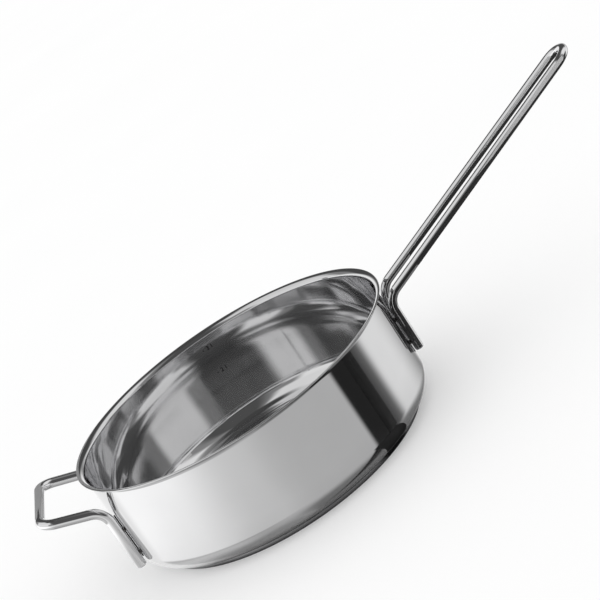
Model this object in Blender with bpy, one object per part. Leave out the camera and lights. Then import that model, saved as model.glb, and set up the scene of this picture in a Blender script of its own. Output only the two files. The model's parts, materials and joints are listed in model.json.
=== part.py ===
"""A 24 cm saute pan of stainless steel: a drawn body on a capsule base, with two bent rod
handles that are spot welded to its wall.

Frame: the origin is the centre of the base, on the surface that the pan stands on. +Z is up
and +X runs along the long handle. Lengths are in metres, angles in degrees.
"""

import math

import bmesh
import bpy
from mathutils import Vector

# Pan body, one drawn sheet
INNER_RADIUS = 0.1199
WALL = 0.0010
PAN_HEIGHT = 0.0833
CORNER_WIDTH = 0.0165
CORNER_HEIGHT = 0.0156
LIP_CURVE = 0.0036

# Capsule base, an aluminium disc in a steel cap
CAP_SETBACK = 0.0122
CAP_THICKNESS = 0.0006
CAP_EDGE_RADIUS = 0.0009
CORE_THICKNESS = 0.0019
CORE_EDGE_RADIUS = 0.0004
CLEARANCE = 0.0003

# Rod ends and spot welds of both handles
ROD_END_RADIUS = 0.0012
WELD_THICKNESS = 0.0002
WELD_CLEARANCE = 0.0002
WELD_RADIUS = 0.0017

# Long handle
LONG_ROD_RADIUS = 0.0033
LONG_SPREAD = 0.0276
LONG_TIP_SPREAD = 0.0237
LONG_LEG_BOTTOM = 0.0263
LONG_BEND_HEIGHT = 0.0690
LONG_BEND_RADIUS = 0.0140
LONG_RISE = 22.2
LONG_REACH = 0.2084
LONG_LOWER_WELD = 0.0337
LONG_UPPER_WELD = 0.0533

# Helper handle
HELPER_ROD_RADIUS = 0.00375
HELPER_SPREAD = 0.0831
HELPER_TIP_SPREAD = 0.0797
HELPER_LEG_BOTTOM = 0.0139
HELPER_BEND_HEIGHT = 0.0624
HELPER_BEND_RADIUS = 0.0130
HELPER_TIP_RADIUS = 0.0110
HELPER_RISE = 19.2
HELPER_REACH = 0.0440
HELPER_LOWER_WELD = 0.0230
HELPER_UPPER_WELD = 0.0429

# How finely round shapes are divided
TURN_STEPS = 80
CORNER_STEPS = 9
LIP_STEPS = 5
EDGE_STEPS = 4
BEND_STEPS = 7
ROD_SIDES_LEVEL = 5
WELD_SIDES = 24
CUTTER_SIDES = 48
WALL_CUTTER_SIDES = 240
SMOOTH_ANGLE = math.radians(35)
SAME_POINT = 1e-6

# Sizes that follow from those above
OUTER_RADIUS = INNER_RADIUS + WALL
CAP_RADIUS = OUTER_RADIUS - CAP_SETBACK
LIP_CENTRE_RADIUS = OUTER_RADIUS + LIP_CURVE
LIP_CENTRE_HEIGHT = PAN_HEIGHT - LIP_CURVE - WALL
CORE_UNDERSIDE = CAP_THICKNESS + CLEARANCE
FLOOR_UNDERSIDE = CORE_UNDERSIDE + CORE_THICKNESS + CLEARANCE
CORNER_CENTRE_RADIUS = OUTER_RADIUS - CORNER_WIDTH
CORNER_CENTRE_HEIGHT = FLOOR_UNDERSIDE + CORNER_HEIGHT
LEG_GAP = WELD_THICKNESS + 2 * WELD_CLEARANCE


def clear_scene():
    """Removes every object of the startup scene."""
    for old in list(bpy.data.objects):
        bpy.data.objects.remove(old, do_unlink=True)


def metal(name, colour, roughness):
    """A bare metal of one colour and one roughness."""
    material = bpy.data.materials.new(name)
    material.use_nodes = True
    shader = material.node_tree.nodes["Principled BSDF"]
    shader.inputs["Base Color"].default_value = (*colour, 1.0)
    shader.inputs["Metallic"].default_value = 1.0
    shader.inputs["Roughness"].default_value = roughness
    material.diffuse_color = (*colour, 1.0)
    return material


def arc(centre, across, up, start, end, steps):
    """Points (radius, height) on part of an ellipse, whose angles are in degrees from +r."""
    points = []
    for step in range(steps + 1):
        angle = math.radians(start + (end - start) * step / steps)
        points.append((centre[0] + across * math.cos(angle), centre[1] + up * math.sin(angle)))
    return points


def new_object(name, data, material):
    """Puts a mesh or a curve into the scene as a named piece of one material."""
    piece = bpy.data.objects.new(name, data)
    data.materials.append(material)
    bpy.context.scene.collection.objects.link(piece)
    return piece


def mesh_of(name, bm):
    """Turns a finished bmesh into a smooth mesh whose sharp edges stay sharp."""
    bmesh.ops.remove_doubles(bm, verts=bm.verts[:], dist=SAME_POINT)
    bmesh.ops.recalc_face_normals(bm, faces=bm.faces[:])
    mesh = bpy.data.meshes.new(name)
    bm.to_mesh(mesh)
    bm.free()
    mesh.shade_smooth()
    mesh.set_sharp_from_angle(angle=SMOOTH_ANGLE)
    return mesh


def turned(name, profile, material):
    """Turns an open profile, which starts and ends on the Z axis, into a closed round piece."""
    bm = bmesh.new()
    ring = [bm.verts.new((radius, 0.0, height)) for radius, height in profile]
    edges = [bm.edges.new(pair) for pair in zip(ring, ring[1:])]
    bmesh.ops.spin(
        bm,
        geom=ring + edges,
        axis=(0.0, 0.0, 1.0),
        cent=(0.0, 0.0, 0.0),
        angle=math.tau,
        steps=TURN_STEPS,
        use_merge=True,
    )
    return new_object(name, mesh_of(name, bm), material)


def underside_height(radius):
    """Height of the body's outer face above the ground, at a radius under its floor or corner."""
    across = max(0.0, radius - CORNER_CENTRE_RADIUS) / CORNER_WIDTH
    return CORNER_CENTRE_HEIGHT - CORNER_HEIGHT * math.sqrt(1.0 - across**2)


def make_pan_body():
    """The drawn body: flat floor, round corner, straight wall and a lip that curls outward."""
    corner = (CORNER_CENTRE_RADIUS, CORNER_CENTRE_HEIGHT)
    lip = (LIP_CENTRE_RADIUS, LIP_CENTRE_HEIGHT)
    lip_edge = (LIP_CENTRE_RADIUS, LIP_CENTRE_HEIGHT + LIP_CURVE + WALL / 2)
    profile = [(0.0, FLOOR_UNDERSIDE)]
    profile += arc(corner, CORNER_WIDTH, CORNER_HEIGHT, -90, 0, CORNER_STEPS)
    profile += arc(lip, LIP_CURVE, LIP_CURVE, 180, 90, LIP_STEPS)
    profile += arc(lip_edge, WALL / 2, WALL / 2, -90, 90, EDGE_STEPS)[1:-1]
    profile += arc(lip, LIP_CURVE + WALL, LIP_CURVE + WALL, 90, 180, LIP_STEPS)
    profile += arc(corner, CORNER_WIDTH - WALL, CORNER_HEIGHT - WALL, 0, -90, CORNER_STEPS)
    profile.append((0.0, FLOOR_UNDERSIDE + WALL))
    return turned("pan_body", profile, metal("polished_body_steel", (0.60, 0.60, 0.61), 0.10))


def make_base_cap():
    """The thin steel dish under the pan, whose low wall hides the edge of the core."""
    edge = (CAP_RADIUS - CAP_EDGE_RADIUS, CAP_EDGE_RADIUS)
    inner_edge = CAP_EDGE_RADIUS - CAP_THICKNESS
    wall_top = underside_height(CAP_RADIUS - CAP_THICKNESS) - CLEARANCE
    profile = [(0.0, 0.0)]
    profile += arc(edge, CAP_EDGE_RADIUS, CAP_EDGE_RADIUS, -90, 0, EDGE_STEPS)
    profile += [(CAP_RADIUS, wall_top), (CAP_RADIUS - CAP_THICKNESS, wall_top)]
    profile += arc(edge, inner_edge, inner_edge, 0, -90, EDGE_STEPS)
    profile.append((0.0, CAP_THICKNESS))
    return turned("base_cap", profile, metal("base_cap_steel", (0.34, 0.34, 0.35), 0.28))


def make_base_core():
    """The aluminium disc that spreads the heat, shut in between the cap and the floor."""
    radius = CAP_RADIUS - CAP_THICKNESS - CLEARANCE
    top = CORE_UNDERSIDE + CORE_THICKNESS
    lower = (radius - CORE_EDGE_RADIUS, CORE_UNDERSIDE + CORE_EDGE_RADIUS)
    upper = (radius - CORE_EDGE_RADIUS, top - CORE_EDGE_RADIUS)
    profile = [(0.0, CORE_UNDERSIDE)]
    profile += arc(lower, CORE_EDGE_RADIUS, CORE_EDGE_RADIUS, -90, 0, EDGE_STEPS)
    profile += arc(upper, CORE_EDGE_RADIUS, CORE_EDGE_RADIUS, 0, 90, EDGE_STEPS)
    profile.append((0.0, top))
    return turned("base_core", profile, metal("core_aluminium", (0.80, 0.80, 0.82), 0.45))


def leg_distance(spread, rod_radius):
    """How far the legs of a handle stand from the middle of the pan, along the handle."""
    return math.sqrt((OUTER_RADIUS + LEG_GAP + rod_radius) ** 2 - (spread / 2) ** 2)


def fillet(before, corner, after, radius):
    """Points of the arc of the given radius that rounds a corner between two straight runs."""
    back = (before - corner).normalized()
    on = (after - corner).normalized()
    opening = back.angle(on)
    centre = corner + (back + on).normalized() * (radius / math.sin(opening / 2))
    reach = radius / math.tan(opening / 2)
    first = corner + back * reach - centre
    last = corner + on * reach - centre
    sweep = math.pi - opening
    points = []
    for step in range(BEND_STEPS + 1):
        share = step / BEND_STEPS
        turned_from = first * math.sin((1 - share) * sweep)
        turned_to = last * math.sin(share * sweep)
        points.append(centre + (turned_from + turned_to) / math.sin(sweep))
    return points


def nose_radius(leg_corner, tip_corner):
    """The corner radius that makes the tip of a loop one round nose, with no straight bar."""
    along = tip_corner - leg_corner
    inward = Vector((0.0, -tip_corner.y, 0.0))
    return abs(tip_corner.y) / math.tan(along.angle(inward) / 2)


def rod_end(tip, inward, rod_radius):
    """Points with their thickness, from the rounded end of a rod to its full thickness."""
    points = []
    for step in range(EDGE_STEPS + 1):
        angle = math.radians(90 * step / EDGE_STEPS)
        place = tip + inward * (ROD_END_RADIUS * (1 - math.cos(angle)))
        points.append((place, 1 - ROD_END_RADIUS / rod_radius * (1 - math.sin(angle))))
    return points


def rod_loop(name, side, rod_radius, spread, tip_spread, bottom, bend_height, bend_radius, rise,
             reach, tip_radius, material):
    """One rod, bent into a loop: up the wall, out at a slope, round the tip and back again.

    side is +1 for a handle that points along +X and -1 for one that points along -X. A
    tip_radius of None makes the tip one round nose.
    """
    foot_x = side * leg_distance(spread, rod_radius)
    tip_x = foot_x + side * reach * math.cos(math.radians(rise))
    tip_height = bend_height + reach * math.sin(math.radians(rise))
    foot = Vector((foot_x, spread / 2, bottom))
    leg_corner = Vector((foot_x, spread / 2, bend_height))
    tip_corner = Vector((tip_x, tip_spread / 2, tip_height))
    other_tip = Vector((tip_x, -tip_spread / 2, tip_height))
    half = fillet(foot, leg_corner, tip_corner, bend_radius)
    radius = nose_radius(leg_corner, tip_corner) if tip_radius is None else tip_radius
    half += fillet(leg_corner, tip_corner, other_tip, radius)
    half = rod_end(foot, Vector((0.0, 0.0, 1.0)), rod_radius) + [(point, 1.0) for point in half]
    mirrored = [(Vector((place.x, -place.y, place.z)), thick) for place, thick in reversed(half)]
    if (half[-1][0] - mirrored[0][0]).length < SAME_POINT:
        mirrored = mirrored[1:]
    route = half + mirrored

    curve = bpy.data.curves.new(name, "CURVE")
    curve.dimensions = "3D"
    curve.twist_mode = "MINIMUM"
    curve.bevel_depth = rod_radius
    curve.bevel_resolution = ROD_SIDES_LEVEL
    curve.use_fill_caps = True
    spline = curve.splines.new("POLY")
    spline.points.add(len(route) - 1)
    spline.use_smooth = True
    for point, (place, thickness) in zip(spline.points, route):
        point.co = (*place, 1.0)
        point.radius = thickness
    return new_object(name, curve, material)


def make_long_handle():
    """The long handle: a narrow loop with a round nose."""
    return rod_loop("long_handle", 1, LONG_ROD_RADIUS, LONG_SPREAD, LONG_TIP_SPREAD,
                    LONG_LEG_BOTTOM, LONG_BEND_HEIGHT, LONG_BEND_RADIUS, LONG_RISE, LONG_REACH,
                    None, metal("long_handle_steel", (0.62, 0.62, 0.63), 0.08))


def make_helper_handle():
    """The helper handle: a wide, short loop with a straight outer bar."""
    return rod_loop("helper_handle", -1, HELPER_ROD_RADIUS, HELPER_SPREAD, HELPER_TIP_SPREAD,
                    HELPER_LEG_BOTTOM, HELPER_BEND_HEIGHT, HELPER_BEND_RADIUS, HELPER_RISE,
                    HELPER_REACH, HELPER_TIP_RADIUS,
                    metal("helper_handle_steel", (0.62, 0.62, 0.63), 0.08))


def upright_cutter(name, x, y, radius, bottom, top, sides):
    """An upright cylinder that only cuts and is never shown."""
    bm = bmesh.new()
    bmesh.ops.create_cone(bm, cap_ends=True, segments=sides, radius1=radius, radius2=radius,
                          depth=top - bottom)
    bmesh.ops.translate(bm, verts=bm.verts[:], vec=(x, y, (bottom + top) / 2))
    cutter = new_object(name, mesh_of(name, bm), metal(name + "_guide", (0.5, 0.5, 0.5), 0.5))
    cutter.hide_render = True
    cutter.display_type = "WIRE"
    return cutter


def make_weld(name, x, y, height, cutters, material):
    """A weld nugget: a short round plug between the wall and a leg, hollowed to fit both."""
    length = math.hypot(x, y) - INNER_RADIUS
    bm = bmesh.new()
    bmesh.ops.create_cone(bm, cap_ends=True, segments=WELD_SIDES, radius1=WELD_RADIUS,
                          radius2=WELD_RADIUS, depth=length)
    outward = Vector((x, y, 0.0)).normalized()
    turn = outward.to_track_quat("Z", "Y").to_matrix()
    bmesh.ops.rotate(bm, verts=bm.verts[:], cent=(0.0, 0.0, 0.0), matrix=turn)
    place = outward * (INNER_RADIUS + length / 2) + Vector((0.0, 0.0, height))
    bmesh.ops.translate(bm, verts=bm.verts[:], vec=place)
    weld = new_object(name, mesh_of(name, bm), material)
    for cutter in cutters:
        cut = weld.modifiers.new(cutter.name, "BOOLEAN")
        cut.operation = "DIFFERENCE"
        cut.solver = "EXACT"
        cut.object = cutter
    return weld


def make_welds():
    """Two nuggets on each of the four legs. The front is the -Y side."""
    wall_cutter = upright_cutter("wall_cutter", 0.0, 0.0, OUTER_RADIUS + WELD_CLEARANCE, 0.0,
                                 PAN_HEIGHT, WALL_CUTTER_SIDES)
    handles = (
        ("long", 1, LONG_ROD_RADIUS, LONG_SPREAD, LONG_LOWER_WELD, LONG_UPPER_WELD),
        ("helper", -1, HELPER_ROD_RADIUS, HELPER_SPREAD, HELPER_LOWER_WELD, HELPER_UPPER_WELD),
    )
    for handle, side, rod_radius, spread, lower, upper in handles:
        for place, half_spread in (("front", -spread / 2), ("back", spread / 2)):
            x = side * leg_distance(spread, rod_radius)
            leg_cutter = upright_cutter(f"{handle}_{place}_leg_cutter", x, half_spread,
                                        rod_radius + WELD_CLEARANCE, 0.0, PAN_HEIGHT,
                                        CUTTER_SIDES)
            for level, height in (("lower", lower), ("upper", upper)):
                name = f"weld_{handle}_{place}_{level}"
                material = metal(name + "_steel", (0.22, 0.21, 0.20), 0.40)
                make_weld(name, x, half_spread, height, (wall_cutter, leg_cutter), material)


def main():
    clear_scene()
    make_pan_body()
    make_base_core()
    make_base_cap()
    make_long_handle()
    make_helper_handle()
    make_welds()


main()
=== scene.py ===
"""A 24 cm saute pan of stainless steel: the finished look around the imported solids.

The pan stands on a pale floor in soft studio light. Lengths are in metres, in the frame of the
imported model: the origin is the centre of the base, +Z is up and +X runs along the long handle.
"""

import json
import logging
import math
from dataclasses import dataclass
from enum import Enum

import bmesh
import bpy
from mathutils import Matrix, Vector

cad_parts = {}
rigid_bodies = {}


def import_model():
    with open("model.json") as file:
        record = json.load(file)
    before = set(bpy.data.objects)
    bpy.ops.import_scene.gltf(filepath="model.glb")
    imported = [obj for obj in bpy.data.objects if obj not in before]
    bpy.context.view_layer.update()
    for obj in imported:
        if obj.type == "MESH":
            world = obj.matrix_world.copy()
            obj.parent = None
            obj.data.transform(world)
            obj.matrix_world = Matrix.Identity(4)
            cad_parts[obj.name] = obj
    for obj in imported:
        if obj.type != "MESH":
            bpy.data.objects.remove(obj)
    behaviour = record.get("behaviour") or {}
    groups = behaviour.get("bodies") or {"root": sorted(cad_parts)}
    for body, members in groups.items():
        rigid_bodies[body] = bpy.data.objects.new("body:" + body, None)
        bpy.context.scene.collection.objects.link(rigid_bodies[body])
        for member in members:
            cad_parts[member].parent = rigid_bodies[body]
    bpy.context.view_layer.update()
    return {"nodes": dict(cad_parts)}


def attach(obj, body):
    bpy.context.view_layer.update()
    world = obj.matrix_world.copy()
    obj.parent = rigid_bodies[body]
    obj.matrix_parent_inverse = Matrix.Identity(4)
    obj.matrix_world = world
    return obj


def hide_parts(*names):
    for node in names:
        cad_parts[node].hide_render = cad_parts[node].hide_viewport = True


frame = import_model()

LOG = logging.getLogger("saute_pan")
BODY = "root"
SAME_POINT = 1e-6
SHORTEST_RUN = 5e-5
CLOUDS_PER_METRE = 28.0
CLOUD_DARKENING = 0.965
NOISE_LOW, NOISE_HIGH = 0.3, 0.7
MIRROR_BOUNCES = 12
FULL_TURN = 360.0

Corner = tuple[float, float, float]


class Grain(Enum):
    """Which way the fine polishing lines of a steel surface run."""

    TURNED_WALL = "rings on an upright wall"
    TURNED_FLOOR = "rings on a flat floor"
    DRAWN_ROD = "cloudy, without a direction"


@dataclass(frozen=True)
class SteelFinish:
    """One finish of bare metal, with its own colour, polish and grain."""

    name: str
    colour: tuple[float, float, float]
    roughness: float
    roughness_spread: float
    grain: Grain
    lines_per_metre: float
    line_depth: float
    anisotropy: float = 0.0

    def material(self) -> bpy.types.Material:
        """Builds the node material of this finish.

        Returns:
            The new material.
        """
        material = bpy.data.materials.new(self.name)
        material.use_nodes = True
        tree = material.node_tree
        shader = tree.nodes["Principled BSDF"]
        shader.inputs["Metallic"].default_value = 1.0
        shader.inputs["Anisotropic"].default_value = self.anisotropy
        shader.inputs["Anisotropic Rotation"].default_value = 0.25

        coordinates = tree.nodes.new("ShaderNodeTexCoord")
        grain = self._grain_value(tree, coordinates)
        cloud = self._cloud_value(tree, coordinates)
        self._colour_from(tree, cloud, shader)
        self._roughness_from(tree, cloud, grain, shader)
        self._bump_from(tree, grain, shader)
        if self.anisotropy:
            tangent = tree.nodes.new("ShaderNodeTangent")
            tangent.direction_type = "RADIAL"
            tangent.axis = "Z"
            tree.links.new(tangent.outputs["Tangent"], shader.inputs["Tangent"])
        return material

    def _grain_value(self, tree: bpy.types.NodeTree,
                     coordinates: bpy.types.Node) -> bpy.types.NodeSocket:
        """Fine lines: noise along the height, along the radius, or in all directions.

        Args:
            tree: The node tree that is being built.
            coordinates: The Texture Coordinate node.

        Returns:
            A socket that gives 0 to 1.
        """
        noise = tree.nodes.new("ShaderNodeTexNoise")
        noise.inputs["Scale"].default_value = self.lines_per_metre
        noise.inputs["Detail"].default_value = 3.0
        noise.inputs["Roughness"].default_value = 0.65
        if self.grain is Grain.DRAWN_ROD:
            tree.links.new(coordinates.outputs["Object"], noise.inputs["Vector"])
            return noise.outputs["Fac"]
        noise.noise_dimensions = "1D"
        split = tree.nodes.new("ShaderNodeSeparateXYZ")
        tree.links.new(coordinates.outputs["Object"], split.inputs["Vector"])
        if self.grain is Grain.TURNED_WALL:
            tree.links.new(split.outputs["Z"], noise.inputs["W"])
            return noise.outputs["Fac"]
        flat = tree.nodes.new("ShaderNodeCombineXYZ")
        tree.links.new(split.outputs["X"], flat.inputs["X"])
        tree.links.new(split.outputs["Y"], flat.inputs["Y"])
        radius = tree.nodes.new("ShaderNodeVectorMath")
        radius.operation = "LENGTH"
        tree.links.new(flat.outputs["Vector"], radius.inputs[0])
        tree.links.new(radius.outputs["Value"], noise.inputs["W"])
        return noise.outputs["Fac"]

    def _cloud_value(self, tree: bpy.types.NodeTree,
                     coordinates: bpy.types.Node) -> bpy.types.NodeSocket:
        """Wide, faint clouds of polish, a few centimetres across.

        Args:
            tree: The node tree that is being built.
            coordinates: The Texture Coordinate node.

        Returns:
            A socket that gives 0 to 1.
        """
        cloud = tree.nodes.new("ShaderNodeTexNoise")
        cloud.inputs["Scale"].default_value = CLOUDS_PER_METRE
        cloud.inputs["Detail"].default_value = 4.0
        tree.links.new(coordinates.outputs["Object"], cloud.inputs["Vector"])
        return cloud.outputs["Fac"]

    def _colour_from(self, tree: bpy.types.NodeTree, cloud: bpy.types.NodeSocket,
                     shader: bpy.types.Node) -> None:
        """Lets the clouds vary the colour a little.

        Args:
            tree: The node tree that is being built.
            cloud: The cloud value.
            shader: The Principled shader.
        """
        ramp = tree.nodes.new("ShaderNodeValToRGB")
        darker = tuple(channel * CLOUD_DARKENING for channel in self.colour)
        ramp.color_ramp.elements[0].color = (*darker, 1.0)
        ramp.color_ramp.elements[0].position = NOISE_LOW
        ramp.color_ramp.elements[1].color = (*self.colour, 1.0)
        ramp.color_ramp.elements[1].position = NOISE_HIGH
        tree.links.new(cloud, ramp.inputs["Fac"])
        tree.links.new(ramp.outputs["Color"], shader.inputs["Base Color"])

    def _roughness_from(self, tree: bpy.types.NodeTree, cloud: bpy.types.NodeSocket,
                        grain: bpy.types.NodeSocket, shader: bpy.types.Node) -> None:
        """Sets the roughness from the clouds and the fine lines together.

        Args:
            tree: The node tree that is being built.
            cloud: The cloud value.
            grain: The value of the fine lines.
            shader: The Principled shader.
        """
        mean = tree.nodes.new("ShaderNodeMath")
        mean.operation = "MULTIPLY_ADD"
        mean.inputs[1].default_value = 0.5
        half = tree.nodes.new("ShaderNodeMath")
        half.operation = "MULTIPLY"
        half.inputs[1].default_value = 0.5
        tree.links.new(cloud, half.inputs[0])
        tree.links.new(grain, mean.inputs[0])
        tree.links.new(half.outputs["Value"], mean.inputs[2])
        spread = tree.nodes.new("ShaderNodeMapRange")
        spread.inputs["From Min"].default_value = NOISE_LOW
        spread.inputs["From Max"].default_value = NOISE_HIGH
        spread.inputs["To Min"].default_value = self.roughness - self.roughness_spread
        spread.inputs["To Max"].default_value = self.roughness + self.roughness_spread
        tree.links.new(mean.outputs["Value"], spread.inputs["Value"])
        tree.links.new(spread.outputs["Result"], shader.inputs["Roughness"])

    def _bump_from(self, tree: bpy.types.NodeTree, grain: bpy.types.NodeSocket,
                   shader: bpy.types.Node) -> None:
        """Presses the fine lines into the surface.

        Args:
            tree: The node tree that is being built.
            grain: The value of the fine lines.
            shader: The Principled shader.
        """
        bump = tree.nodes.new("ShaderNodeBump")
        bump.inputs["Strength"].default_value = 1.0
        bump.inputs["Distance"].default_value = self.line_depth
        tree.links.new(grain, bump.inputs["Height"])
        tree.links.new(bump.outputs["Normal"], shader.inputs["Normal"])


OUTER_POLISH = SteelFinish("outer_wall_polish", (0.78, 0.78, 0.785), 0.05, 0.012,
                           Grain.TURNED_WALL, 1500.0, 0.0000001)
INNER_SATIN = SteelFinish("inner_wall_satin", (0.84, 0.84, 0.845), 0.045, 0.01,
                          Grain.TURNED_WALL, 1200.0, 0.00000004)
FLOOR_BRUSH = SteelFinish("inner_floor_brushed", (0.80, 0.80, 0.80), 0.14, 0.03,
                          Grain.TURNED_FLOOR, 1200.0, 0.0000003, anisotropy=0.75)
RIM_POLISH = SteelFinish("rim_polish", (0.80, 0.80, 0.805), 0.05, 0.012,
                         Grain.TURNED_WALL, 1500.0, 0.00000004)
# the cap's brushed finish is real; its dark colour is painted shade from the ground round the
# base
BASE_BRUSH_AND_SHADE = SteelFinish("base_cap_brushed_and_shaded", (0.30, 0.30, 0.305), 0.24, 0.04,
                         Grain.TURNED_FLOOR, 1200.0, 0.0000004, anisotropy=0.4)
CORE_MATT = SteelFinish("core_matt_aluminium", (0.78, 0.78, 0.80), 0.42, 0.05,
                        Grain.DRAWN_ROD, 900.0, 0.000004)
ROD_POLISH = SteelFinish("handle_rod_polish", (0.90, 0.90, 0.905), 0.05, 0.015,
                         Grain.DRAWN_ROD, 300.0, 0.0000002)
WELD_BURNT = SteelFinish("weld_burnt_steel", (0.16, 0.15, 0.145), 0.38, 0.08,
                         Grain.DRAWN_ROD, 2500.0, 0.000010)
MARK_ETCH = SteelFinish("volume_mark_etched", (0.03, 0.03, 0.032), 0.50, 0.06,
                        Grain.DRAWN_ROD, 6000.0, 0.000004)


def matt_material(name: str) -> tuple[bpy.types.Material, bpy.types.NodeTree, bpy.types.Node]:
    """Starts a matt material of the studio.

    Args:
        name: Name of the material.

    Returns:
        The material, its node tree and its shader.
    """
    material = bpy.data.materials.new(name)
    material.use_nodes = True
    tree = material.node_tree
    shader = tree.nodes["Principled BSDF"]
    shader.inputs["Roughness"].default_value = 0.9
    shader.inputs["Specular IOR Level"].default_value = 0.0
    return material, tree, shader


@dataclass(frozen=True)
class StudioSheet:
    """A matt sheet of the studio, with a faint mottle and, if it has one, a glow of painted
    light.
    """

    name: str
    darker: float
    lighter: float
    spots_per_metre: float
    glow: float = 0.0

    def material(self) -> bpy.types.Material:
        """Builds the node material of the sheet.

        Returns:
            The new material.
        """
        material, tree, shader = matt_material(self.name)
        shader.inputs["Emission Color"].default_value = (1.0, 1.0, 1.0, 1.0)
        # the glow is painted light that the sheet gives off itself
        shader.inputs["Emission Strength"].default_value = self.glow
        coordinates = tree.nodes.new("ShaderNodeTexCoord")
        noise = tree.nodes.new("ShaderNodeTexNoise")
        noise.inputs["Scale"].default_value = self.spots_per_metre
        ramp = tree.nodes.new("ShaderNodeValToRGB")
        ramp.color_ramp.elements[0].color = (self.darker, self.darker, self.darker, 1.0)
        ramp.color_ramp.elements[1].color = (self.lighter, self.lighter, self.lighter, 1.0)
        tree.links.new(coordinates.outputs["Object"], noise.inputs["Vector"])
        tree.links.new(noise.outputs["Fac"], ramp.inputs["Fac"])
        tree.links.new(ramp.outputs["Color"], shader.inputs["Base Color"])
        return material


# the floor paper glows a little: painted light that lifts the pan's shadow on the floor
FLOOR_PAPER = StudioSheet("studio_floor_paper", 0.65, 0.67, 3.0, glow=0.30)
# black card that only the steel mirrors: it paints dark reflections, and the shade round the pan,
# into the steel
CARD_DARK_REFLECTION = StudioSheet("studio_card_painted_dark", 0.02, 0.04, 40.0)
# grey and dim cards that only the steel mirrors: painted grey reflections on the handles
CARD_GREY = StudioSheet("studio_card_grey", 0.44, 0.50, 12.0)
CARD_DIM = StudioSheet("studio_card_dim", 0.28, 0.38, 12.0)


@dataclass(frozen=True)
class GroundShade:
    """The shade on the ground round the base, which thins out outwards and is paler at -X."""

    name: str = "studio_ground_shade"
    radius: float = 0.20
    tone_reach: float = 0.12
    strengths: tuple[tuple[float, float], ...] = (
        (0.55, 1.0), (0.59, 0.36), (0.67, 0.12), (0.92, 0.0))
    # the shade is paler at -X: painted light where more light falls on the ground from that side
    tones: tuple[tuple[float, float], ...] = ((0.08, 0.80), (0.20, 0.10))

    def material(self) -> bpy.types.Material:
        """Builds the node material of the shade.

        Returns:
            The new material.
        """
        material, tree, shader = matt_material(self.name)
        coordinates = tree.nodes.new("ShaderNodeTexCoord")
        distance = tree.nodes.new("ShaderNodeVectorMath")
        distance.operation = "LENGTH"
        share = tree.nodes.new("ShaderNodeMath")
        share.operation = "DIVIDE"
        share.inputs[1].default_value = self.radius
        tree.links.new(coordinates.outputs["Object"], distance.inputs[0])
        tree.links.new(distance.outputs["Value"], share.inputs[0])
        strength = self._ramp(tree, share.outputs["Value"], self.strengths)
        tree.links.new(strength, shader.inputs["Alpha"])
        split = tree.nodes.new("ShaderNodeSeparateXYZ")
        across = tree.nodes.new("ShaderNodeMapRange")
        across.inputs["From Min"].default_value = -self.tone_reach
        across.inputs["From Max"].default_value = self.tone_reach
        tree.links.new(coordinates.outputs["Object"], split.inputs["Vector"])
        tree.links.new(split.outputs["X"], across.inputs["Value"])
        tone = self._ramp(tree, across.outputs["Result"], self.tones)
        tree.links.new(tone, shader.inputs["Base Color"])
        return material

    def _ramp(self, tree: bpy.types.NodeTree, value: bpy.types.NodeSocket,
              stops: tuple[tuple[float, float], ...]) -> bpy.types.NodeSocket:
        """A ramp of greys.

        Args:
            tree: The node tree that is being built.
            value: What the ramp runs along, 0 to 1.
            stops: Place and grey of each stop.

        Returns:
            A socket that gives the grey.
        """
        ramp = tree.nodes.new("ShaderNodeValToRGB")
        elements = ramp.color_ramp.elements
        for number, (place, grey) in enumerate(stops):
            stop = elements[number] if number < len(elements) else elements.new(place)
            stop.position = place
            stop.color = (grey, grey, grey, 1.0)
        tree.links.new(value, ramp.inputs["Fac"])
        return ramp.outputs["Color"]


class ProfilePen:
    """Draws half a cross-section in the XZ plane with bmesh operators, point after point."""

    def __init__(self, radius: float, height: float) -> None:
        """Puts the pen down.

        Args:
            radius: Distance of the first point from the Z axis.
            height: Height of the first point.
        """
        self.bm = bmesh.new()
        self.tip = self.bm.verts.new((radius, 0.0, height))

    def line(self, radius: float, height: float) -> None:
        """Draws a straight line to a point.

        Args:
            radius: Distance of the point from the Z axis.
            height: Height of the point.
        """
        made = bmesh.ops.extrude_vert_indiv(self.bm, verts=[self.tip])
        self.tip = made["verts"][0]
        self.tip.co = (radius, 0.0, height)

    def curve(self, centre: tuple[float, float], degrees: float, steps: int,
              stretch: float = 1.0) -> None:
        """Draws an arc about a centre, or part of an ellipse.

        Args:
            centre: Radius and height of the arc's centre.
            degrees: How far it turns; positive turns from +Z towards +X.
            steps: How many straight pieces make the arc.
            stretch: Height of the ellipse over its width.
        """
        middle = Vector((centre[0], 0.0, centre[1]))
        self.tip.co.z = centre[1] + (self.tip.co.z - centre[1]) / stretch
        before = set(self.bm.verts) - {self.tip}
        made = bmesh.ops.spin(self.bm, geom=[self.tip], cent=middle, axis=(0.0, 1.0, 0.0),
                              angle=math.radians(degrees), steps=steps, use_merge=False)
        arc = [vert for vert in self.bm.verts if vert not in before]
        flatten = Matrix.Diagonal((1.0, 1.0, stretch, 1.0))
        bmesh.ops.transform(self.bm, verts=arc, space=Matrix.Translation(-middle),
                            matrix=flatten)
        self.tip = next(item for item in made["geom_last"]
                        if isinstance(item, bmesh.types.BMVert))

    def turn(self, steps: int) -> bmesh.types.BMesh:
        """Turns the drawn profile once round the Z axis into a closed skin.

        Args:
            steps: How many segments the turn has.

        Returns:
            The bmesh, merged and with its faces pointing outwards.
        """
        bm = self.bm
        bmesh.ops.spin(bm, geom=bm.verts[:] + bm.edges[:], cent=(0.0, 0.0, 0.0),
                       axis=(0.0, 0.0, 1.0), angle=math.tau, steps=steps, use_merge=True)
        bmesh.ops.remove_doubles(bm, verts=bm.verts[:], dist=SAME_POINT)
        bmesh.ops.recalc_face_normals(bm, faces=bm.faces[:])
        return bm


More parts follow.
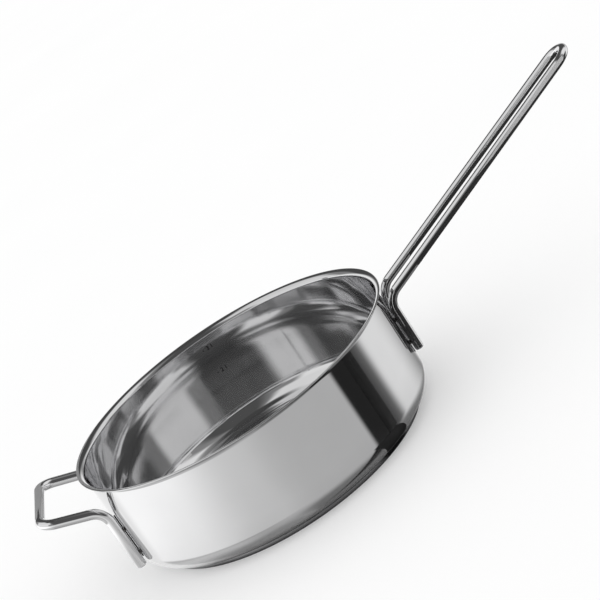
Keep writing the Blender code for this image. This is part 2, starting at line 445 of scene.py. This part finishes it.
class RodBender:
    """Bends a round rod: a ring of points is pulled along straights and spun round bends."""

    def __init__(self, start: Vector, direction: Vector, radius: float, sides: int) -> None:
        """Sets the first ring.

        Args:
            start: Centre of the rod's first end.
            direction: The way the rod leaves that end.
            radius: Half of the rod's thickness.
            sides: How many sides the rod has.
        """
        self.bm = bmesh.new()
        self.place = start.copy()
        self.direction = direction.normalized()
        face_along = self.direction.to_track_quat("Z", "Y").to_matrix().to_4x4()
        made = bmesh.ops.create_circle(self.bm, cap_ends=False, segments=sides, radius=radius,
                                       matrix=Matrix.Translation(start) @ face_along)
        self.ring = made["verts"]
        self.first_edges = self.bm.edges[:]
        self.edges = self.first_edges

    def _take_ring(self, made: list) -> None:
        """Keeps the ring at the end of what an operator has just made.

        Args:
            made: The operator's last geometry.
        """
        self.ring = [item for item in made if isinstance(item, bmesh.types.BMVert)]
        self.edges = [item for item in made if isinstance(item, bmesh.types.BMEdge)]

    def straight_to(self, place: Vector, pieces: int = 1) -> None:
        """Pulls the ring straight on to a place.

        Args:
            place: Where the ring's centre ends.
            pieces: How many equal lengths the run is made of.
        """
        step = (place - self.place) / pieces
        for _ in range(pieces):
            made = bmesh.ops.extrude_edge_only(self.bm, edges=self.edges)
            self._take_ring([item for item in made["geom"]
                             if not isinstance(item, bmesh.types.BMFace)])
            bmesh.ops.translate(self.bm, verts=self.ring, vec=step)
        self.place = place.copy()

    def bend(self, corner: Vector, after: Vector, radius: float, steps: int) -> None:
        """Runs up to a corner and bends round it.

        Args:
            corner: Where the straight runs before and after the bend would meet.
            after: A point on the run after the bend.
            radius: Radius of the bend at the rod's middle.
            steps: How many pieces the bend is made of.
        """
        onward = (after - corner).normalized()
        angle = self.direction.angle(onward)
        setback = radius * math.tan(angle / 2)
        entry = corner - self.direction * setback
        if (entry - self.place).length > SHORTEST_RUN:
            self.straight_to(entry)
        axis = self.direction.cross(onward).normalized()
        centre = entry + axis.cross(self.direction) * radius
        made = bmesh.ops.spin(self.bm, geom=self.ring + self.edges, cent=centre, axis=axis,
                              angle=angle, steps=steps, use_merge=False)
        self._take_ring(made["geom_last"])
        self.place = corner + onward * setback
        self.direction = onward

    def close(self, rounding: float, steps: int) -> bmesh.types.BMesh:
        """Closes both ends with a rounded face.

        Args:
            rounding: Radius of the rounded edge of each end.
            steps: How many pieces the rounding is made of.

        Returns:
            The finished bmesh, with its faces pointing outwards.
        """
        bm = self.bm
        ends = []
        for edges in (self.first_edges, self.edges):
            ends += bmesh.ops.edgeloop_fill(bm, edges=edges)["faces"]
        corner_edges = list({edge for face in ends for edge in face.edges})
        bmesh.ops.bevel(bm, geom=corner_edges, offset=rounding, offset_type="OFFSET",
                        affect="EDGES", segments=steps, profile=0.5, material=-1)
        bmesh.ops.remove_doubles(bm, verts=bm.verts[:], dist=SAME_POINT)
        bmesh.ops.recalc_face_normals(bm, faces=bm.faces[:])
        return bm


def finished_piece(name: str, bm: bmesh.types.BMesh, materials: list[bpy.types.Material],
                   sharp_degrees: float = 40.0) -> bpy.types.Object:
    """Makes a bmesh an object at the origin that rides on the pan.

    Args:
        name: Name of the piece.
        bm: Its finished mesh, which is used up.
        materials: Its materials, in the order of the faces' material numbers.
        sharp_degrees: Edges that turn by more than this stay sharp.

    Returns:
        The new object.
    """
    mesh = bpy.data.meshes.new(name)
    bm.to_mesh(mesh)
    bm.free()
    for material in materials:
        mesh.materials.append(material)
    mesh.shade_smooth()
    mesh.set_sharp_from_angle(angle=math.radians(sharp_degrees))
    piece = bpy.data.objects.new(name, mesh)
    bpy.context.scene.collection.objects.link(piece)
    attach(piece, BODY)
    return piece


def dress_node(node: str, material: bpy.types.Material) -> None:
    """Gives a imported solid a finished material.

    Args:
        node: Name of the solid.
        material: The material that it shows.
    """
    solid = frame["nodes"][node]
    solid.data.materials.clear()
    solid.data.materials.append(material)


class Zone(Enum):
    """The zones of the pan body, numbered as the materials of its piece are."""

    OUTSIDE = 0
    INNER_WALL = 1
    INNER_FLOOR = 2
    LIP = 3


ZONE_FINISHES = {Zone.OUTSIDE: OUTER_POLISH, Zone.INNER_WALL: INNER_SATIN,
                 Zone.INNER_FLOOR: FLOOR_BRUSH, Zone.LIP: RIM_POLISH}


@dataclass
class DrawnBody:
    """The drawn pan body: floor, round corner, straight wall and curled lip."""

    inner_radius: float = 0.1199
    wall: float = 0.0010
    height: float = 0.0833
    corner_width: float = 0.0165
    corner_height: float = 0.0156
    lip_curve: float = 0.0036
    floor_underside: float = 0.0031
    turn_steps: int = 288
    corner_steps: int = 28
    lip_steps: int = 14
    edge_steps: int = 8
    looks_up: float = 0.05

    @property
    def outer_radius(self) -> float:
        """Radius of the outer face of the wall."""
        return self.inner_radius + self.wall

    @property
    def corner_centre(self) -> tuple[float, float]:
        """Radius and height of the centre of the corner's curve."""
        return (self.outer_radius - self.corner_width, self.floor_underside + self.corner_height)

    @property
    def lip_centre(self) -> tuple[float, float]:
        """Radius and height of the centre of the lip's curve."""
        return (self.outer_radius + self.lip_curve, self.height - self.lip_curve - self.wall)

    def build(self) -> bpy.types.Object:
        """Builds the body as one closed skin with a finish for each of its zones.

        Returns:
            The piece.
        """
        corner, lip = self.corner_centre, self.lip_centre
        inner_width = self.corner_width - self.wall
        inner_height = self.corner_height - self.wall
        pen = ProfilePen(0.0, self.floor_underside)
        pen.line(corner[0], self.floor_underside)
        pen.curve(corner, -90.0, self.corner_steps, self.corner_height / self.corner_width)
        pen.line(self.outer_radius, lip[1])
        pen.curve(lip, 90.0, self.lip_steps)
        edge = (lip[0], lip[1] + self.lip_curve + self.wall / 2)
        pen.curve(edge, -180.0, self.edge_steps)
        pen.curve(lip, -90.0, self.lip_steps)
        pen.line(self.inner_radius, corner[1])
        pen.curve(corner, 90.0, self.corner_steps, inner_height / inner_width)
        pen.line(0.0, self.floor_underside + self.wall)
        bm = pen.turn(self.turn_steps)
        self._mark_zones(bm)
        materials = [ZONE_FINISHES[zone].material() for zone in Zone]
        piece = finished_piece("pan_shell", bm, materials)
        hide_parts("pan_body")
        return piece

    def _mark_zones(self, bm: bmesh.types.BMesh) -> None:
        """Gives each face the number of the finish of its zone.

        Args:
            bm: The body's mesh.
        """
        floor_radius = self.corner_centre[0]
        for face in bm.faces:
            middle = face.calc_center_median()
            radius = math.hypot(middle.x, middle.y)
            inward = face.normal.x * middle.x + face.normal.y * middle.y < 0.0
            if middle.z > self.lip_centre[1]:
                zone = Zone.LIP
            elif middle.z > self.corner_centre[1] and inward:
                zone = Zone.INNER_WALL
            elif face.normal.z > self.looks_up:
                zone = Zone.INNER_FLOOR if radius < floor_radius else Zone.INNER_WALL
            else:
                zone = Zone.OUTSIDE
            face.material_index = zone.value


@dataclass
class VolumeScale:
    """The litre scale that is etched into the far side of the inner wall."""

    wall_radius: float = 0.1199
    proud: float = 0.00003
    thick: float = 0.00006
    numeral_height: float = 0.0034
    numeral_share_of_type: float = 0.7
    boldness: float = 0.00006
    dot_size: float = 0.0010
    fine_dot_size: float = 0.0006
    dot_sides: int = 20
    litres: tuple[tuple[str, float], ...] = (("2", 0.0498), ("3", 0.0705))
    dot_degrees: float = 96.2
    numeral_degrees: float = 94.3
    letter_degrees: float = 92.65
    fine_steps: tuple[float, ...] = (0.0550, 0.0601, 0.0653)

    def build(self) -> bpy.types.Object:
        """Builds the numerals, letters and dots as one thin piece on the wall.

        Returns:
            The piece.
        """
        bm = bmesh.new()
        for numeral, height in self.litres:
            self._add_text(bm, numeral, self.numeral_degrees, height)
            self._add_text(bm, "l", self.letter_degrees, height)
            self._add_dot(bm, self.dot_degrees, height, self.dot_size)
        for height in self.fine_steps:
            self._add_dot(bm, self.dot_degrees, height, self.fine_dot_size)
        bmesh.ops.remove_doubles(bm, verts=bm.verts[:], dist=SAME_POINT)
        bmesh.ops.recalc_face_normals(bm, faces=bm.faces[:])
        return finished_piece("volume_scale", bm, [MARK_ETCH.material()])

    def _on_wall(self, flat: Vector, degrees: float, height: float) -> Vector:
        """Carries a point of a flat drawing onto the wall.

        Args:
            flat: The point: x to the right, y up, z towards the viewer.
            degrees: Where the drawing's middle lies round the wall.
            height: Height of the drawing's middle.

        Returns:
            The point on the wall.
        """
        radius = self.wall_radius - self.proud - flat.z
        angle = math.radians(degrees) - flat.x / self.wall_radius
        return Vector((radius * math.cos(angle), radius * math.sin(angle), height + flat.y))

    def _add_flat(self, bm: bmesh.types.BMesh, mesh: bpy.types.Mesh, degrees: float,
                  height: float) -> None:
        """Wraps a flat mesh onto the wall and adds it.

        Args:
            bm: What it is added to.
            mesh: The flat mesh.
            degrees: Where its middle lies round the wall.
            height: Height of its middle.
        """
        for vertex in mesh.vertices:
            vertex.co = self._on_wall(vertex.co, degrees, height)
        bm.from_mesh(mesh)
        bpy.data.meshes.remove(mesh)

    def _add_text(self, bm: bmesh.types.BMesh, text: str, degrees: float, height: float) -> None:
        """Adds one numeral or letter.

        Args:
            bm: What it is added to.
            text: The character.
            degrees: Where its middle lies round the wall.
            height: Height of its middle.
        """
        curve = bpy.data.curves.new("scale_text", "FONT")
        curve.body = text
        curve.size = self.numeral_height / self.numeral_share_of_type
        curve.align_x = "CENTER"
        curve.align_y = "CENTER"
        curve.extrude = self.thick / 2
        curve.offset = self.boldness
        writing = bpy.data.objects.new("scale_text", curve)
        bpy.context.scene.collection.objects.link(writing)
        bpy.context.view_layer.update()
        mesh = bpy.data.meshes.new_from_object(
            writing.evaluated_get(bpy.context.evaluated_depsgraph_get()))
        bpy.data.objects.remove(writing)
        bpy.data.curves.remove(curve)
        self._add_flat(bm, mesh, degrees, height)

    def _add_dot(self, bm: bmesh.types.BMesh, degrees: float, height: float, size: float) -> None:
        """Adds one round dot.

        Args:
            bm: What it is added to.
            degrees: Where it lies round the wall.
            height: Its height.
            size: Its width.
        """
        drawing = bmesh.new()
        bmesh.ops.create_cone(drawing, cap_ends=True, segments=self.dot_sides,
                              radius1=size / 2, radius2=size / 2, depth=self.thick)
        mesh = bpy.data.meshes.new("scale_dot")
        drawing.to_mesh(mesh)
        drawing.free()
        self._add_flat(bm, mesh, degrees, height)


@dataclass
class CapsuleBase:
    """The capsule base: an aluminium core in a thin steel cap."""

    cap_radius: float = 0.1087
    thickness: float = 0.0006
    edge_radius: float = 0.0009
    wall_top: float = 0.0033
    turn_steps: int = 256
    outer_steps: int = 8
    inner_steps: int = 6

    def build(self) -> bpy.types.Object:
        """Builds the cap and dresses the core.

        Returns:
            The cap.
        """
        lower = (self.cap_radius - self.edge_radius, self.edge_radius)
        rim = (self.cap_radius - self.thickness / 2, self.wall_top - self.thickness / 2)
        pen = ProfilePen(0.0, 0.0)
        pen.line(lower[0], 0.0)
        pen.curve(lower, -90.0, self.outer_steps)
        pen.line(self.cap_radius, rim[1])
        pen.curve(rim, -180.0, self.outer_steps)
        pen.line(self.cap_radius - self.thickness, self.edge_radius)
        pen.curve(lower, 90.0, self.inner_steps)
        pen.line(0.0, self.thickness)
        # the cap is painted dark: painted shade of the ground round the base
        piece = finished_piece("base_cap_shell", pen.turn(self.turn_steps),
                               [BASE_BRUSH_AND_SHADE.material()])
        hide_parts("base_cap")
        dress_node("base_core", CORE_MATT.material())
        return piece


@dataclass
class RodHandle:
    """One handle: a steel rod bent into a loop, with both ends against the wall.

    A handle without a tip radius gets the roundest nose that its width allows.
    """

    name: str
    node: str
    side: int
    rod_radius: float
    spread: float
    tip_spread: float
    leg_bottom: float
    bend_height: float
    bend_radius: float
    rise_degrees: float
    reach: float
    tip_radius: float | None
    wall_radius: float = 0.1209
    leg_gap: float = 0.0006
    end_rounding: float = 0.0012
    rod_sides: int = 40
    bend_steps: int = 24
    tip_steps: int = 28
    end_steps: int = 5

    def build(self) -> bpy.types.Object:
        """Bends the rod from the back leg round the tip to the front leg.

        Returns:
            The piece.
        """
        leg_radius = self.wall_radius + self.leg_gap + self.rod_radius
        foot_x = self.side * math.sqrt(leg_radius**2 - (self.spread / 2) ** 2)
        rise = math.radians(self.rise_degrees)
        tip_x = foot_x + self.side * self.reach * math.cos(rise)
        tip_z = self.bend_height + self.reach * math.sin(rise)
        foot = Vector((foot_x, self.spread / 2, self.leg_bottom))
        knee = Vector((foot_x, self.spread / 2, self.bend_height))
        tip = Vector((tip_x, self.tip_spread / 2, tip_z))
        over = Vector((1.0, -1.0, 1.0))
        front_foot, front_knee, front_tip = foot * over, knee * over, tip * over

        nose = self.tip_radius
        if nose is None:
            inward = Vector((0.0, -1.0, 0.0))
            nose = tip.y / math.tan((tip - knee).angle(inward) / 2)
        rod = RodBender(foot, Vector((0.0, 0.0, 1.0)), self.rod_radius, self.rod_sides)
        rod.bend(knee, tip, self.bend_radius, self.bend_steps)
        rod.bend(tip, front_tip, nose, self.tip_steps)
        rod.bend(front_tip, front_knee, nose, self.tip_steps)
        rod.bend(front_knee, front_foot, self.bend_radius, self.bend_steps)
        rod.straight_to(front_foot)
        bm = rod.close(self.end_rounding, self.end_steps)
        piece = finished_piece(self.name, bm, [ROD_POLISH.material()])
        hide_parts(self.node)
        return piece


def long_handle() -> RodHandle:
    """The long handle: a narrow loop with a round nose."""
    return RodHandle(name="long_handle_rod", node="long_handle", side=1, rod_radius=0.0033,
                     spread=0.0276, tip_spread=0.0237, leg_bottom=0.0263, bend_height=0.0690,
                     bend_radius=0.0140, rise_degrees=22.2, reach=0.2084, tip_radius=None)


def helper_handle() -> RodHandle:
    """The helper handle: a wide, short loop with a straight outer bar."""
    return RodHandle(name="helper_handle_rod", node="helper_handle", side=-1,
                     rod_radius=0.00375, spread=0.0831, tip_spread=0.0797, leg_bottom=0.0139,
                     bend_height=0.0624, bend_radius=0.0130, rise_degrees=19.2, reach=0.0440,
                     tip_radius=0.0110)


@dataclass
class SpotWelds:
    """The eight nuggets that join the legs of both handles to the wall."""

    prefix: str = "weld_"

    def build(self) -> int:
        """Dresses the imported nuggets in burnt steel.

        Returns:
            How many nuggets there are.
        """
        nodes = [node for node in frame["nodes"] if node.startswith(self.prefix)]
        material = WELD_BURNT.material()
        for node in nodes:
            dress_node(node, material)
        return len(nodes)


@dataclass(frozen=True)
class Panel:
    """One soft panel of the studio that the steel mirrors, given by where it stands."""

    start: float
    end: float
    bottom: float
    top: float
    light: float
    soft_start: float = 8.0
    soft_end: float = 8.0
    soft_bottom: float = 8.0
    soft_top: float = 8.0


@dataclass(frozen=True)
class Card:
    """A flat card that only the steel mirrors, which paints a dark or grey reflection into it;
    given by its corners, one after the other.
    """

    name: str
    corners: tuple[Corner, ...]
    finish: StudioSheet


@dataclass
class Studio:
    """A pale floor and a soft, plain studio round the pan, with cards and a ground shade that
    only the steel mirrors, which paint reflections and shade into it.
    """

    ambient: float = 0.24
    plain_light: float = 1.05
    floor_radius: float = 14.0
    floor_sides: int = 128
    shade_sides: int = 96
    shade_depth: float = 0.0001
    # cards that only the steel mirrors: painted dark and grey reflections in the handles and the
    # wall
    cards: tuple[Card, ...] = (
        Card("dark_under_handle", ((0.160, -0.080, 0.060), (0.246, -0.080, 0.0686),
                                   (0.262, -0.150, 0.0702), (0.303, -0.088, 0.0743),
                                   (0.401, -0.100, 0.0841), (0.401, 0.140, 0.0841),
                                   (0.234, 0.0735, 0.0674), (0.160, 0.020, 0.060)), CARD_DARK_REFLECTION),
        Card("dark_before_handle", ((0.115, -0.080, 0.075), (0.160, -0.080, 0.060),
                                    (0.246, -0.080, 0.0686), (0.246, -0.080, 0.095),
                                    (0.216, -0.080, 0.118), (0.190, -0.080, 0.113),
                                    (0.115, -0.080, 0.090)), CARD_DARK_REFLECTION),
        Card("grey_before_nose", ((0.246, -0.081, 0.095), (0.400, -0.081, 0.090),
                                  (0.400, -0.081, 0.240), (0.260, -0.081, 0.240),
                                  (0.216, -0.081, 0.118)), CARD_GREY),
        Card("dark_before_legs", ((0.115, -0.100, -0.060), (0.290, -0.100, -0.060),
                                  (0.290, -0.100, 0.030), (0.115, -0.100, 0.078)), CARD_DARK_REFLECTION),
        Card("dark_beside_legs", ((0.098, -0.100, -0.060), (0.115, -0.100, -0.060),
                                  (0.115, -0.100, 0.078), (0.098, -0.100, 0.078)), CARD_DARK_REFLECTION),
        Card("dark_behind_legs", ((0.1275, 0.040, 0.005), (0.165, 0.040, 0.005),
                                  (0.165, 0.040, 0.055), (0.1275, 0.040, 0.070)), CARD_DARK_REFLECTION),
        Card("dark_behind_helper_leg", ((-0.1357, -0.0056, 0.003), (-0.1304, -0.0028, 0.003),
                                        (-0.1304, -0.0028, 0.041), (-0.1357, -0.0056, 0.041)),
             CARD_DARK_REFLECTION),
        # painted shade: this dark card on the ground stands in for the shade under the pan's
        # corner, which the corner mirrors
        Card("dark_under_corner", ((0.0674, -0.0863, 0.0001), (0.0882, -0.1214, 0.0001),
                                   (0.1042, -0.1079, 0.0001), (0.1182, -0.0923, 0.0001),
                                   (0.0863, -0.0674, 0.0001), (0.0774, -0.0774, 0.0001)),
             CARD_DARK_REFLECTION),
        Card("dim_behind_helper", ((-0.225, 0.125, 0.066), (-0.112, 0.125, 0.066),
                                   (-0.112, 0.125, 0.135), (-0.225, 0.125, 0.135)), CARD_DIM),
    )
    panels: tuple[Panel, ...] = (
        # the lower ring, mirrored in the outer wall and its corner
        Panel(-120.0, -26.0, -90.0, 5.0, 0.51, 39.0, 3.0, 10.0, 12.0),
        Panel(117.0, 240.0, -25.0, 9.0, 1.20, 25.0, 92.0, 8.0, 14.0),
        Panel(142.0, 235.0, -60.0, -26.0, 0.60, 25.0, 61.0, 24.0, 12.0),
        Panel(7.0, 53.0, -30.0, 12.0, 0.87, 10.0, 46.0, 21.0, 10.0),
        Panel(75.0, 145.0, -57.0, 13.0, 0.95, 20.0, 13.0, 10.0, 11.0),
        # the left and right boxes, mirrored inside the pan and on the rods
        Panel(152.0, 230.0, 11.0, 76.0, 0.80, 14.0, 13.0, 8.0, 12.0),
        Panel(-24.0, 33.0, 12.0, 64.0, 0.80, 15.0, 17.0, 8.0, 12.0),
        Panel(139.0, 248.0, 36.0, 78.0, 0.74, 15.0, 15.0, 12.0, 12.0),
        # the dark gaps in front, behind and overhead, and the floor's faint glow
        Panel(-102.0, -44.0, 6.0, 90.0, 0.08, 20.0, 16.0, 8.0, 8.0),
        Panel(41.0, 127.0, 15.0, 90.0, 0.07, 14.0, 13.0, 7.0, 8.0),
        Panel(-180.0, 180.0, 74.0, 90.0, 0.06, 1.0, 1.0, 11.0, 1.0),
        Panel(-98.0, 84.0, -90.0, -43.0, 0.21, 41.0, 40.0, 2.0, 30.0),
        Panel(98.0, 250.0, -90.0, -52.0, 0.33, 40.0, 40.0, 2.0, 30.0),
        # the dark band in front of the long handle
        Panel(-27.0, 2.0, -90.0, 10.0, 0.02, 5.0, 28.0, 10.0, 10.0),
    )

    def build(self) -> None:
        """Builds the floor, its shade, the cards round the pan and the world."""
        self._floor()
        self._shade()
        for card in self.cards:
            self._card(card)
        self._world()

    def _floor(self) -> None:
        """A wide pale floor, which the steel doesn't mirror."""
        bm = bmesh.new()
        bmesh.ops.create_circle(bm, cap_ends=True, segments=self.floor_sides,
                                radius=self.floor_radius)
        floor = self._flat_form("studio_floor", bm, FLOOR_PAPER.material())
        floor.visible_glossy = False

    def _shade(self) -> None:
        """The shade round the base, which only the steel mirrors."""
        bm = bmesh.new()
        shade = GroundShade()
        bmesh.ops.create_circle(bm, cap_ends=True, segments=self.shade_sides,
                                radius=shade.radius)
        bmesh.ops.translate(bm, verts=bm.verts[:], vec=(0.0, 0.0, -self.shade_depth))
        self._mirrored_only(shade.name, bm, shade.material())

    def _flat_form(self, name: str, bm: bmesh.types.BMesh,
                   material: bpy.types.Material) -> bpy.types.Object:
        """Puts a flat form into the scene.

        Args:
            name: Its name.
            bm: Its finished mesh, which is used up.
            material: Its material.

        Returns:
            The new object.
        """
        mesh = bpy.data.meshes.new(name)
        bm.to_mesh(mesh)
        bm.free()
        mesh.materials.append(material)
        form = bpy.data.objects.new(name, mesh)
        bpy.context.scene.collection.objects.link(form)
        return form

    def _mirrored_only(self, name: str, bm: bmesh.types.BMesh,
                       material: bpy.types.Material) -> None:
        """Puts a flat form into the studio that the steel mirrors and nothing else sees.

        Args:
            name: Its name.
            bm: Its finished mesh, which is used up.
            material: Its material.
        """
        form = self._flat_form(name, bm, material)
        form.visible_camera = False
        form.visible_diffuse = False
        form.visible_shadow = False

    def _card(self, card: Card) -> None:
        """Puts up a flat card near the pan, which only the steel mirrors.

        Args:
            card: The card.
        """
        bm = bmesh.new()
        bmesh.ops.contextual_create(bm, geom=[bm.verts.new(corner) for corner in card.corners])
        self._mirrored_only(card.name, bm, card.finish.material())

    def _world(self) -> None:
        """Paints the panels on the sky that the steel mirrors; the floor gets plain light."""
        world = bpy.data.worlds.new("studio_world")
        bpy.context.scene.world = world
        world.use_nodes = True
        tree = world.node_tree
        background = tree.nodes["Background"]
        coordinates = tree.nodes.new("ShaderNodeTexCoord")
        split = tree.nodes.new("ShaderNodeSeparateXYZ")
        tree.links.new(coordinates.outputs["Generated"], split.inputs["Vector"])
        azimuth = self._math(tree, "ARCTAN2", split.outputs["Y"], split.outputs["X"])
        elevation = self._math(tree, "ARCSINE", split.outputs["Z"])
        light: bpy.types.NodeSocket | float = self.ambient
        for panel in self.panels:
            light = self._over(tree, light, panel, azimuth, elevation)
        mirrored = tree.nodes.new("ShaderNodeLightPath")
        mix = tree.nodes.new("ShaderNodeMix")
        mix.data_type = "FLOAT"
        mix.inputs["A"].default_value = self.plain_light
        tree.links.new(light, mix.inputs["B"])
        tree.links.new(mirrored.outputs["Is Glossy Ray"], mix.inputs["Factor"])
        tree.links.new(mix.outputs["Result"], background.inputs["Color"])
        background.inputs["Strength"].default_value = 1.0
        world.cycles.sampling_method = "NONE"

    def _over(self, tree: bpy.types.NodeTree, light: bpy.types.NodeSocket | float, panel: Panel,
              azimuth: bpy.types.NodeSocket, elevation: bpy.types.NodeSocket
              ) -> bpy.types.NodeSocket:
        """Lays one panel over the light so far.

        Args:
            tree: The world's node tree.
            light: The light so far.
            panel: The panel.
            azimuth: Where the ray goes round the pan, in radians.
            elevation: How high the ray goes, in radians.

        Returns:
            The light with the panel in it.
        """
        middle = math.radians((panel.start + panel.end) / 2)
        half = math.radians((panel.end - panel.start) / 2)
        turned = self._math(tree, "SUBTRACT", azimuth, middle)
        wrap = tree.nodes.new("ShaderNodeMath")
        wrap.operation = "WRAP"
        wrap.inputs[1].default_value = math.pi
        wrap.inputs[2].default_value = -math.pi
        tree.links.new(turned, wrap.inputs[0])
        across = wrap.outputs["Value"]
        covers = [
            self._edge(tree, elevation, math.radians(panel.bottom), panel.soft_bottom, True),
            self._edge(tree, elevation, math.radians(panel.top), panel.soft_top, False),
        ]
        if panel.end - panel.start < FULL_TURN:
            covers.append(self._edge(tree, across, -half, panel.soft_start, True))
            covers.append(self._edge(tree, across, half, panel.soft_end, False))
        cover = covers[0]
        for other in covers[1:]:
            cover = self._math(tree, "MULTIPLY", cover, other)
        mix = tree.nodes.new("ShaderNodeMix")
        mix.data_type = "FLOAT"
        mix.inputs["B"].default_value = panel.light
        if isinstance(light, float):
            mix.inputs["A"].default_value = light
        else:
            tree.links.new(light, mix.inputs["A"])
        tree.links.new(cover, mix.inputs["Factor"])
        return mix.outputs["Result"]

    def _edge(self, tree: bpy.types.NodeTree, value: bpy.types.NodeSocket, place: float,
              soft_degrees: float, rising: bool) -> bpy.types.NodeSocket:
        """A soft edge, half in and half out at its place.

        Args:
            tree: The world's node tree.
            value: What the edge is measured along, in radians.
            place: Where the edge lies, in radians.
            soft_degrees: Width of the soft edge.
            rising: True for an edge where the panel starts.

        Returns:
            A socket that gives 1 inside and 0 outside.
        """
        half = math.radians(soft_degrees) / 2
        edge = tree.nodes.new("ShaderNodeMapRange")
        edge.interpolation_type = "SMOOTHSTEP"
        edge.inputs["From Min"].default_value = place - half
        edge.inputs["From Max"].default_value = place + half
        edge.inputs["To Min"].default_value = 0.0 if rising else 1.0
        edge.inputs["To Max"].default_value = 1.0 if rising else 0.0
        tree.links.new(value, edge.inputs["Value"])
        return edge.outputs["Result"]

    def _math(self, tree: bpy.types.NodeTree, operation: str, first: bpy.types.NodeSocket,
              second: bpy.types.NodeSocket | float | None = None) -> bpy.types.NodeSocket:
        """One Math node.

        Args:
            tree: The world's node tree.
            operation: What it does.
            first: Its first value.
            second: Its second value, if it has one.

        Returns:
            Its result.
        """
        node = tree.nodes.new("ShaderNodeMath")
        node.operation = operation
        tree.links.new(first, node.inputs[0])
        if isinstance(second, float):
            node.inputs[1].default_value = second
        elif second is not None:
            tree.links.new(second, node.inputs[1])
        return node.outputs["Value"]


@dataclass
class StudioCamera:
    """The camera, turned about its own axis so that the long handle points up to the right."""

    azimuth: float = 1.10
    elevation: float = 17.15
    roll: float = 33.48
    distance: float = 1.300
    aim_right: float = 0.07228
    aim_up: float = 0.09442
    focal_pixels: float = 1827.05
    photo_pixels: float = 600.0
    sensor: float = 36.0
    nearest: float = 0.05
    farthest: float = 60.0

    def build(self) -> bpy.types.Object:
        """Places the camera and makes it the scene's.

        Returns:
            The camera object.
        """
        azimuth, elevation, roll = (math.radians(value) for value in
                                    (self.azimuth, self.elevation, self.roll))
        back = Vector((math.sin(azimuth) * math.cos(elevation),
                       -math.cos(azimuth) * math.cos(elevation), math.sin(elevation)))
        right = Vector((math.cos(azimuth), math.sin(azimuth), 0.0))
        up = back.cross(right)
        place = right * self.aim_right + up * self.aim_up + back * self.distance
        image_right = right * math.cos(roll) - up * math.sin(roll)
        image_up = right * math.sin(roll) + up * math.cos(roll)
        data = bpy.data.cameras.new("studio_camera")
        data.sensor_width = self.sensor
        data.lens = self.focal_pixels / self.photo_pixels * self.sensor
        data.clip_start = self.nearest
        data.clip_end = self.farthest
        camera = bpy.data.objects.new("studio_camera", data)
        bpy.context.scene.collection.objects.link(camera)
        turn = Matrix((image_right, image_up, back)).transposed().to_4x4()
        camera.matrix_world = Matrix.Translation(place) @ turn
        bpy.context.scene.camera = camera
        return camera


def main() -> None:
    """Builds the pan, the studio and the camera."""
    logging.basicConfig(level=logging.INFO)
    bpy.context.scene.view_settings.view_transform = "Standard"
    # the bright inside of the pan mirrors itself many times
    bpy.context.scene.cycles.glossy_bounces = MIRROR_BOUNCES
    StudioCamera().build()
    Studio().build()
    LOG.info("body: %s", DrawnBody().build().name)
    LOG.info("scale: %s", VolumeScale().build().name)
    LOG.info("base: %s", CapsuleBase().build().name)
    LOG.info("handle: %s", long_handle().build().name)
    LOG.info("handle: %s", helper_handle().build().name)
    LOG.info("weld nuggets dressed: %d", SpotWelds().build())


if __name__ == "__main__":
    main()
